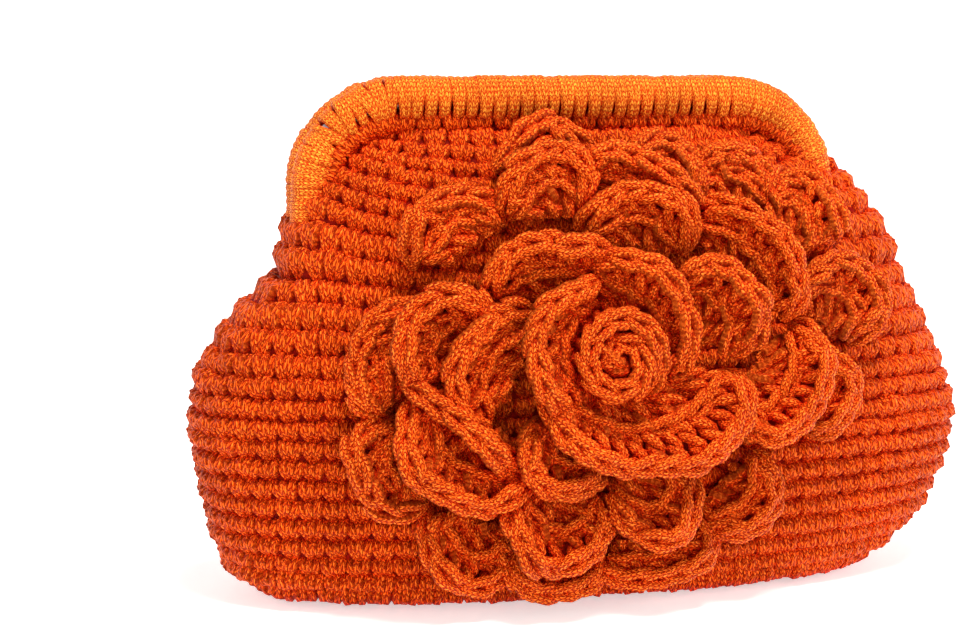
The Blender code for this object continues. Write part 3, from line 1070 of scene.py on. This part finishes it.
def on_rose(right, up, height):
    """A place on the rose in metres: right and up of its centre, out from the panel."""
    reach = math.hypot(right, up) / ROSE_RADIUS
    x = ROSE_X + right * (1 + (ROSE_BREADTH - 1) * reach)
    z = ROSE_Z + up
    return Vector((x, -(panel_depth(x, z) + height), z))


print("rose centre", round(ROSE_X, 4), round(ROSE_Z, 4), "radius", round(ROSE_RADIUS, 4))

# %% [markdown]
# ## The rims of the petals
# No two petals are alike on a handmade rose, so the rims are drawn one by one:
# each is a few places, right and up of the rose's centre in millimetres, from
# one end of the rim over its tip to the other. Each round sits higher than the
# one outside it.

# %% Rims of the three rounds
OUTER_RIMS = (
    ((64, 19), (66, 29), (75, 33), (84, 29), (89, 21), (88, 10), (82, 6)),
    ((56, 54), (61, 62), (69, 59), (74, 51), (75, 42), (69, 35)),
    ((30, 59), (34, 67), (41, 70), (50, 68), (55, 62), (56, 55)),
    ((9, 65), (15, 72), (22, 74), (28, 70), (32, 63), (32, 54)),
    ((-31, 66), (-25, 73), (-20, 78), (-14, 80), (-8, 77), (-4, 72), (-1, 65)),
    ((-60, 34), (-61, 42), (-59, 49), (-54, 54), (-46, 56), (-38, 56), (-31, 52)),
    ((-71, -14), (-77, -8), (-78, 0), (-77, 9), (-73, 17), (-66, 21), (-61, 19)),
    ((-59, -45), (-65, -47), (-73, -42), (-77, -35), (-79, -26), (-77, -19), (-70, -17)),
    ((-57, -48), (-57, -58), (-53, -65), (-48, -71), (-41, -72), (-35, -69), (-32, -62)),
    ((-32, -63), (-31, -70), (-27, -74), (-18, -75), (-9, -74), (-3, -69)),
    ((-4, -69), (2, -72), (12, -72), (21, -70), (29, -67), (32, -62), (31, -55)),
    ((30, -57), (38, -59), (45, -55), (51, -50), (53, -42), (49, -36)),
    ((67, -27), (74, -21), (79, -13), (78, -5), (71, 1)),
)
MIDDLE_RIMS = (
    ((41, -17), (46, -25), (55, -22), (62, -16), (65, -7), (67, 3), (63, 11)),
    ((57, 15), (60, 22), (58, 32), (53, 42), (46, 49), (38, 53), (30, 50)),
    ((25, 38), (26, 47), (21, 54), (14, 58), (5, 58), (-2, 55), (-6, 48)),
    ((-6, 64), (0, 71), (7, 70), (15, 66), (23, 59), (29, 51)),
    ((-7, 55), (-5, 64), (-9, 70), (-17, 72), (-24, 68), (-30, 62), (-31, 52)),
    ((-3, 26), (-1, 35), (-6, 41), (-14, 40), (-23, 42), (-33, 39), (-38, 34), (-40, 26)),
    ((-41, 15), (-44, 23), (-51, 26), (-60, 23), (-65, 15), (-66, 5), (-62, -4)),
    ((-65, -3), (-61, -6), (-54, -12), (-46, -20), (-38, -30), (-31, -33)),
    ((-63, -9), (-65, -18), (-66, -27), (-62, -34), (-54, -39), (-44, -43), (-36, -42),
     (-30, -36)),
    ((-34, -43), (-32, -55), (-27, -62), (-21, -65), (-12, -61), (-6, -54), (-5, -46)),
    ((-2, -44), (1, -52), (7, -56), (15, -57), (21, -51), (23, -43), (21, -36)),
    ((-27, 19), (-37, 19), (-46, 14), (-51, 6), (-53, -3), (-51, -11), (-45, -18)),
    ((-26, -17), (-31, -24), (-30, -32), (-22, -38), (-13, -39), (-7, -35)),
)
INNER_RIMS = (
    ((-26, -9), (-21, -18), (-13, -25), (-3, -30), (8, -31), (20, -30), (29, -26), (37, -19),
     (40, -11), (38, -3)),
    ((20, 27), (25, 34), (32, 34), (39, 28), (44, 19), (45, 11), (39, 6)),
    ((-8, 34), (-2, 37), (8, 35), (15, 29), (20, 20), (22, 8), (19, -1)),
    ((-7, 29), (-17, 26), (-25, 21), (-29, 12), (-29, 2), (-25, -6), (-19, -14)),
)
ROUNDS = (
    # node it stands for, rims, seat, height of the rim's ends, rise of its middle
    ("petal_round_outer", OUTER_RIMS, 2.8, 4.5, 7.0),
    ("petal_round_middle", MIDDLE_RIMS, 7.0, 11.0, 9.0),
    ("petal_round_inner", INNER_RIMS, 12.0, 16.0, 10.0),
)
RIM_WAVE = 1.4 * MM
RIM_WAVES = 1.5
RIM_STEP = 1.6 * MM
RIM_BLUNTNESS = 0.6
LONG_RIM = 34.0 * MM


def rim_line(points, ends, rise, seed):
    """The rim as evenly spaced (right, up, height) places in metres."""
    fine = [p * MM for p in smooth_line([Vector((*point, 0.0)) for point in points], 8)]
    run = running_length(fine)
    count = max(12, round(run[-1] / RIM_STEP))
    line = []
    for share in np.linspace(0, 1, count + 1):
        right = between(share * run[-1], run, [p.x for p in fine])
        up = between(share * run[-1], run, [p.y for p in fine])
        high = (ends + rise * math.sin(math.pi * share) ** RIM_BLUNTNESS) * MM
        high += RIM_WAVE * math.sin(math.tau * (RIM_WAVES * share) + 2.1 * seed)
        line.append((right, up, high))
    return line, run[-1]


print("petals:", [len(row[1]) for row in ROUNDS])

# %% [markdown]
# ## Tall stitches
# A petal is a fan of tall crochet stitches that start close together near the
# rose's middle and spread to the rim. Each one is two strands of cord twisted
# round each other. The fan is hollow like a spoon: it stays low for most of
# its length and then climbs to the rim. A long petal has a second chain of
# links one step in from its rim.

# %% Posts of a petal
POST_RADIUS = 1.95 * MM
POST_TWIST_RADIUS = 1.7 * MM
POST_SPACING = 7.4 * MM
POST_TWIST_LENGTH = 12.0 * MM
POST_UNEVEN = 1.8 * MM
POST_STEPS = 13
POST_START = 0.02
POST_REACH = 0.93
FOOT_SPREAD = 0.5
FOOT_BACK = 5.0 * MM
CUP_POWER = 1.9
STRAND_THIN, STRAND_GROWTH = 0.85, 0.2
LIFT_STEP, LIFT_SHIFT, TWIST_STEP = 2.4, 1.7, 1.9
TOWARDS_VIEWER = Vector((0, -1, 0))


def petal_foot(line, share):
    """Where a tall stitch starts: on a short line behind the petal's open side."""
    first, last = Vector(line[0][:2]), Vector(line[-1][:2])
    middle = (first + last) / 2
    inward = -middle.normalized() if middle.length > 1 * MM else Vector((0, 0))
    return middle + inward * FOOT_BACK + (last - first) * FOOT_SPREAD * (share - 0.5)


def petal_face(line, seat, share, reach):
    """The petal's hollow face; share runs along the rim, reach from foot to rim."""
    at = share * (len(line) - 1)
    k = min(int(at), len(line) - 2)
    rim = Vector(line[k]).lerp(Vector(line[k + 1]), at - k)
    foot = petal_foot(line, share)
    flat = foot.lerp(rim.xy, reach)
    return on_rose(flat.x, flat.y, seat + (rim.z - seat) * reach**CUP_POWER)


def twisted_pair(centre_line, radius, turns, phase):
    """Two strands twisted round a line of points, as two cord paths."""
    strands = []
    steps = len(centre_line) - 1
    for start in (0.0, math.pi):
        path = []
        for k, here in enumerate(centre_line):
            along = (centre_line[min(k + 1, steps)] - centre_line[max(k - 1, 0)]).normalized()
            side = along.cross(TOWARDS_VIEWER).normalized()
            front = side.cross(along)
            turn = phase + start + math.tau * turns * k / steps
            thickness = STRAND_THIN + STRAND_GROWTH * k / steps
            way = math.cos(turn) * side + math.sin(turn) * front
            path.append((here + radius * thickness * way, thickness))
        strands.append(path)
    return strands


def post_paths(line, length, seat, seed):
    paths = []
    count = max(4, round(length / POST_SPACING))
    for k in range(count):
        share = (k + 0.5) / count
        lift = TOWARDS_VIEWER * POST_UNEVEN * math.sin(LIFT_STEP * k + LIFT_SHIFT * seed)
        centre = []
        for s in np.linspace(0, 1, POST_STEPS + 1):
            place = petal_face(line, seat, share, POST_START + POST_REACH * s)
            centre.append(place + lift * math.sin(math.pi * s))
        turns = running_length(centre)[-1] / POST_TWIST_LENGTH
        paths += twisted_pair(centre, POST_TWIST_RADIUS, turns, TWIST_STEP * k + seed)
    return paths


# %% [markdown]
# ## The plaited rim
# The tops of crochet stitches lie in a chain of Vs: two strands come up out of
# the loop before, part, run side by side and dive into the next loop. One link
# of this chain is modelled and repeated along every rim.

# %% One link of the chain
LINK_PITCH = 7.6 * MM
LINK_RADIUS = 1.95 * MM
LINK_LEG = (
    # along, across, out, thickness share
    (-1.8, 0.4, -1.7, 0.75),
    (0.8, 0.8, 0.1, 0.95),
    (3.6, 1.8, 1.0, 1.05),
    (6.6, 2.5, 0.8, 1.05),
    (9.2, 2.2, -0.3, 0.95),
    (11.0, 1.3, -1.8, 0.75),
)
legs = [lobe_path([(x, side * y, z, t) for x, y, z, t in LINK_LEG]) for side in (1, -1)]
LINK = sweep_cords("link_model", legs, LINK_RADIUS, 6, ROSE_CORD)
print("link faces:", len(LINK.data.polygons))

# %% Links along a rim
RIM_LEAN = 0.45
LEAN_FROM = 0.8
SECOND_ROW = 0.60
SECOND_ROW_LIFT = 1.4 * MM
SECOND_ROW_ENDS = (0.08, 0.92)
SECOND_ROW_WIDTH = 0.95
SECOND_ROW_STEPS = 12


def link_places(points, outward, width_share=1.0):
    """Places for links along points; outward gives the way out at each point."""
    run = running_length(points)
    count = max(3, round(run[-1] / LINK_PITCH))
    pitch = run[-1] / count
    axes_of = list(zip(*points))
    places = []

    def at(distance):
        return Vector([between(distance, run, axis) for axis in axes_of])

    for k in range(count):
        here, ahead = at(k * pitch), at(min((k + 1.2) * pitch, run[-1]))
        along = (ahead - here).normalized()
        way_out = outward[min(len(outward) - 1, int((k + 0.5) / count * len(outward)))]
        out = (TOWARDS_VIEWER + RIM_LEAN * way_out).normalized()
        across = out.cross(along).normalized()
        out = along.cross(across)
        axes = matrix_of(along, across, out)
        places.append((here, axes, (pitch / LINK_PITCH, width_share, 1.0)))
    return places


def row_below_rim(line, seat):
    """Places for the row of crochet one step in from the rim."""
    points = []
    for share in np.linspace(*SECOND_ROW_ENDS, SECOND_ROW_STEPS + 1):
        points.append(petal_face(line, seat, share, SECOND_ROW) + SECOND_ROW_LIFT * TOWARDS_VIEWER)
    middle = sum(points, Vector()) / len(points)
    outward = [(point - middle).normalized() for point in points]
    return link_places(points, outward, SECOND_ROW_WIDTH)


def rim_places(line, seat):
    points = [on_rose(*place) for place in line]
    outward = []
    for k, point in enumerate(points):
        inner = petal_face(line, seat, k / (len(line) - 1), LEAN_FROM)
        outward.append((point - inner).normalized())
    return link_places(points, outward)


print("links are", round(LINK_PITCH * 1000, 1), "mm apart")

# %% [markdown]
# ## The web behind the tall stitches
# Between the posts of a petal the eye meets the back strands of the same
# stitches, which lie in shade. A thin closed sheet just behind the posts stands
# for them, so that no light leaks through a petal; its dark red colour is
# painted shade.

# %% Closed sheets
WEB_ROWS, WEB_COLUMNS = 6, 14
WEB_FRONT, WEB_BACK = 0.9 * MM, 1.7 * MM


def web_rows(line, seat, behind):
    rows = []
    for reach in np.linspace(0, 1, WEB_ROWS + 1):
        shares = np.linspace(0, 1, WEB_COLUMNS + 1)
        rows.append([petal_face(line, seat, s, reach) - behind * TOWARDS_VIEWER for s in shares])
    return rows


def add_sheet(shape, front_rows, back_rows):
    """Adds a closed thin sheet between two grids of points."""
    both = (front_rows, back_rows)
    grids = [[[shape.verts.new(p) for p in row] for row in rows] for rows in both]
    height, width = len(front_rows), len(front_rows[0])
    for grid in grids:
        for r in range(height - 1):
            for c in range(width - 1):
                shape.faces.new((grid[r][c], grid[r][c + 1], grid[r + 1][c + 1], grid[r + 1][c]))
    edge = [(0, c) for c in range(width)] + [(r, width - 1) for r in range(1, height)]
    edge += [(height - 1, c) for c in range(width - 2, -1, -1)]
    edge += [(r, 0) for r in range(height - 2, 0, -1)]
    for (r, c), (r2, c2) in zip(edge, edge[1:] + edge[:1]):
        shape.faces.new((grids[0][r][c], grids[0][r2][c2], grids[1][r2][c2], grids[1][r][c]))


def smooth_object(name, shape, finish):
    """Turns a bmesh into a smooth object with one material."""
    mesh = bpy.data.meshes.new(name)
    shape.to_mesh(mesh)
    shape.free()
    mesh.shade_smooth()
    mesh.materials.append(finish)
    return link_new(name, mesh)


def sheets_object(name, pairs, finish):
    shape = bmesh.new()
    for front_rows, back_rows in pairs:
        add_sheet(shape, front_rows, back_rows)
    bmesh.ops.recalc_face_normals(shape, faces=shape.faces)
    return smooth_object(name, shape, finish)


# %% Make the three rounds
ROSE_PIECES = {}
for number, (node, rims, seat, ends, rise) in enumerate(ROUNDS):
    posts, links, webs = [], [], []
    for k, points in enumerate(rims):
        line, length = rim_line(points, ends, rise, k + 3 * number)
        posts += post_paths(line, length, seat * MM, k)
        links += rim_places(line, seat * MM)
        if length > LONG_RIM:
            links += row_below_rim(line, seat * MM)
        webs.append([web_rows(line, seat * MM, behind) for behind in (WEB_FRONT, WEB_BACK)])
    short = node.replace("petal_round_", "")
    ROSE_PIECES[node] = [
        sweep_cords(f"petal_posts_{short}", posts, POST_RADIUS, 6, ROSE_CORD),
        repeat_model(f"petal_rims_{short}", links, LINK, ROSE_CORD, 0.15, 0.07, 51 + number),
        sheets_object(f"petal_webs_{short}", webs, PAINTED_SHADE_CORD),
    ]
    print(short, "links:", len(links), "triangles:", [triangles(o) for o in ROSE_PIECES[node]])

# %% [markdown]
# ## The heart of the rose
# The middle is a strip of the same tall stitches, coiled up and sewn down on
# its long edge. From the front one sees the chain along its upper edge as a
# spiral, with the posts in the shade between the coils. A thin sheet along the
# coil, between the posts, is coloured dark red as painted shade.

# %% The coiled heart
HEART_CENTRE = (-2.6 * MM, 4.4 * MM)
HEART_TURNS = 1.9
HEART_END = math.radians(-35)
HEART_INNER = 1.9 * MM
HEART_OUTER = (14.6 * MM, 16.6 * MM)
HEART_SEAT = 13.0 * MM
HEART_TOP = 26.2 * MM
HEART_STEPS = 120
HEART_POSTS, HEART_POST_STEPS, HEART_POST_THICKNESS = 30, 6, 1.3
HEART_GROWTH = 0.85
HEART_SLOPE = 2.4 * MM
HEART_RIPPLE, HEART_RIPPLES = 0.7 * MM, 17
HEART_TUCK, HEART_TUCK_FROM = 7 * MM, 0.88
HEART_WEB_BELOW = 1.5 * MM
HEART_WEB_COLUMNS, HEART_WEB_ROWS = 60, 3
HEART_KNOT = (
    # right, up and out of the heart's centre in millimetres, thickness share
    ((-3.8, 2.6, -7, 0.8), (-2.6, 3.0, -3.0, 1.1), (-0.4, 3.0, -2.0, 1.2), (2.8, 2.4, -7, 0.8)),
    ((-4.2, 0.4, -7, 0.8), (-2.6, 0.2, -2.4, 1.2), (0.4, -0.6, -1.6, 1.3), (3.6, -0.2, -7, 0.8)),
    ((-3.4, -4.0, -7, 0.8), (-1.6, -3.8, -2.6, 1.2), (1.4, -3.6, -2.4, 1.3), (4.2, -3.0, -7, 0.8)),
)


def heart_place(share, height):
    turn = HEART_END + math.tau * HEART_TURNS * (1 - share)
    grown = share**HEART_GROWTH
    wide = HEART_INNER + (HEART_OUTER[0] - HEART_INNER) * grown
    tall = HEART_INNER + (HEART_OUTER[1] - HEART_INNER) * grown
    right = HEART_CENTRE[0] + wide * math.cos(turn)
    return on_rose(right, HEART_CENTRE[1] + tall * math.sin(turn), height)


def heart_top(share):
    tucked = max(0.0, share - HEART_TUCK_FROM) / (1 - HEART_TUCK_FROM)
    ripple = HEART_RIPPLE * math.sin(share * HEART_RIPPLES)
    return HEART_TOP - HEART_SLOPE * (1 - share) + ripple - HEART_TUCK * tucked**2


def knot_place(x, z, y):
    return on_rose(HEART_CENTRE[0] + x * MM, HEART_CENTRE[1] + z * MM, HEART_TOP + y * MM)


heart_shares = np.linspace(0, 1, HEART_STEPS + 1)
heart_line = [heart_place(share, heart_top(share)) for share in heart_shares]
heart_middle = on_rose(*HEART_CENTRE, HEART_TOP)
heart_outward = [(point - heart_middle).normalized() for point in heart_line]
heart_links = link_places(heart_line, heart_outward, 0.92)
heart_posts = [[(knot_place(*row[:3]), row[3]) for row in table] for table in HEART_KNOT]
for k in range(HEART_POSTS):
    share = (k + 0.5) / HEART_POSTS
    rises = np.linspace(HEART_SEAT, heart_top(share) - 1.0 * MM, HEART_POST_STEPS + 1)
    heart_posts.append([(heart_place(share, rise), HEART_POST_THICKNESS) for rise in rises])


def heart_rows(lift):
    rows = []
    for rise in np.linspace(0, 1, HEART_WEB_ROWS + 1):
        row = []
        for share in np.linspace(0, 1, HEART_WEB_COLUMNS + 1):
            climb = (heart_top(share) - HEART_SEAT - HEART_WEB_BELOW) * rise
            row.append(heart_place(share, HEART_SEAT + climb) + Vector((0, 0, lift)))
        rows.append(row)
    return rows


ROSE_PIECES["rose_heart"] = [
    sweep_cords("heart_posts", heart_posts, POST_RADIUS, 6, ROSE_CORD),
    repeat_model("heart_rim", heart_links, LINK, ROSE_CORD, 0.08, 0.04, 61),
    sheets_object("heart_web", [(heart_rows(0.0), heart_rows(0.6 * MM))], PAINTED_SHADE_CORD),
]
print("heart triangles:", [triangles(o) for o in ROSE_PIECES["rose_heart"]])

# %% [markdown]
# ## Joining the cord to the frame
# Each piece now takes the place of the plain solid that stood for it, and rides
# on the bag's one body. The models that were repeated have done their work.

# %% Ride and replace
for model in (STITCH, PAIR, LINK):
    bpy.data.objects.remove(model, do_unlink=True)
for piece in STITCH_PIECES + [WALL]:
    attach(piece, "root")
    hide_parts("bag_shell")
for label in ("front", "back"):
    for piece in (WINDINGS[label], UNDER_LAYERS[label]):
        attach(piece, "root")
        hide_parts("winding_" + label)
for node, pieces in ROSE_PIECES.items():
    for piece in pieces:
        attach(piece, "root")
        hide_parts(node)
total = sum(triangles(o) for o in STITCH_PIECES + [WALL] + list(WINDINGS.values()))
total += sum(triangles(o) for pieces in ROSE_PIECES.values() for o in pieces)
print("triangles added:", total)

# %% [markdown]
# ## Studio
# The bag stands on a pale round floor that bends up into a low wall on every
# side, lit by a large soft light above and in front, a weaker one from the right
# and a bright surround. The floor glows a little, which keeps it white in every
# direction. The camera stands to the left of the bag, level with its top, as the
# photographer did.

# %% Floor, lights and camera
BAG_MIDDLE = Vector((0, 0, 0.09))
STAGE_RADIUS = 1.7
STAGE_BEND = 0.5
STAGE_WALL = 1.6
STAGE_SIDES = 64
STAGE_MIDDLE = 0.4
STAGE_BEND_STEPS = 9
STAGE_GLOW = 0.52


def plain_floor(name):
    """Smooth white acrylic with light behind it, which gives no edge or horizon."""
    material, tree, spot = new_material(name)
    grain = noise(tree, spot, 40.0, 2.0)
    sockets = {
        "Base Color": mix(tree, grain, linear("f4f3f1"), linear("f8f8f7")),
        "Roughness": 0.7,
        "Emission Color": linear("ffffff"),
        "Emission Strength": STAGE_GLOW,
    }
    return add_surface(material, sockets)


def round_stage():
    """A floor that bends up all round into a low wall, so every side looks the same."""
    profile = [(STAGE_MIDDLE, 0.0), (STAGE_RADIUS, 0.0)]
    for turn in np.linspace(0.0, math.pi / 2, STAGE_BEND_STEPS + 1)[1:]:
        along, up = STAGE_BEND * math.sin(turn), STAGE_BEND * (1 - math.cos(turn))
        profile.append((STAGE_RADIUS + along, up))
    profile.append((STAGE_RADIUS + STAGE_BEND, STAGE_WALL))
    turns = np.linspace(0.0, math.tau, STAGE_SIDES, endpoint=False)
    shape = bmesh.new()
    rings = [
        [shape.verts.new((radius * math.cos(a), radius * math.sin(a), z)) for a in turns]
        for radius, z in profile
    ]
    shape.faces.new(rings[0])
    for inner, outer in zip(rings, rings[1:]):
        for k in range(STAGE_SIDES):
            after = (k + 1) % STAGE_SIDES
            shape.faces.new((inner[k], outer[k], outer[after], inner[after]))
    return smooth_object("studio_floor", shape, plain_floor("lit_white_acrylic_floor"))


round_stage()


def soft_light(name, place, size, power, colour):
    """A round lamp that looks at the middle of the bag."""
    data = bpy.data.lights.new(name, "AREA")
    data.shape = "DISK"
    data.size = size
    data.energy = power
    data.color = linear(colour)[:3]
    lamp = link_new(name, data)
    lamp.location = place
    lamp.rotation_euler = (BAG_MIDDLE - lamp.location).to_track_quat("-Z", "Y").to_euler()


soft_light("key_above", (0.1, -0.4, 1.25), 0.4, 24.0, "fffaf2")
soft_light("fill_right", (1.1, -0.9, 0.6), 0.9, 3.0, "fffdfa")
SURROUND_STRENGTH = 0.14
surround = bpy.data.worlds.new("pale_surround")
surround.use_nodes = True
background = surround.node_tree.nodes["Background"]
background.inputs["Color"].default_value = linear("ffffff")
background.inputs["Strength"].default_value = SURROUND_STRENGTH
bpy.context.scene.world = surround
bpy.context.scene.view_settings.view_transform = "Standard"

CAMERA_TURN = math.radians(15)
CAMERA_RISE = math.radians(8)
CAMERA_DISTANCE = 0.65
CAMERA_AIM = Vector((-0.0295, 0.0, 0.0932))
FOCAL_PIXELS = 1813
IMAGE_WIDTH = 964
SENSOR = 36.0
level = math.cos(CAMERA_RISE)
view_from = Vector(
    (-math.sin(CAMERA_TURN) * level, -math.cos(CAMERA_TURN) * level, math.sin(CAMERA_RISE))
)
camera_data = bpy.data.cameras.new("camera")
camera_data.sensor_width = SENSOR
camera_data.lens = SENSOR * FOCAL_PIXELS / IMAGE_WIDTH
camera = link_new("camera", camera_data)
camera.location = BAG_MIDDLE + view_from * CAMERA_DISTANCE
camera.rotation_euler = (CAMERA_AIM - camera.location).to_track_quat("-Z", "Y").to_euler()
bpy.context.scene.camera = camera
print("lens mm:", round(camera_data.lens, 1))
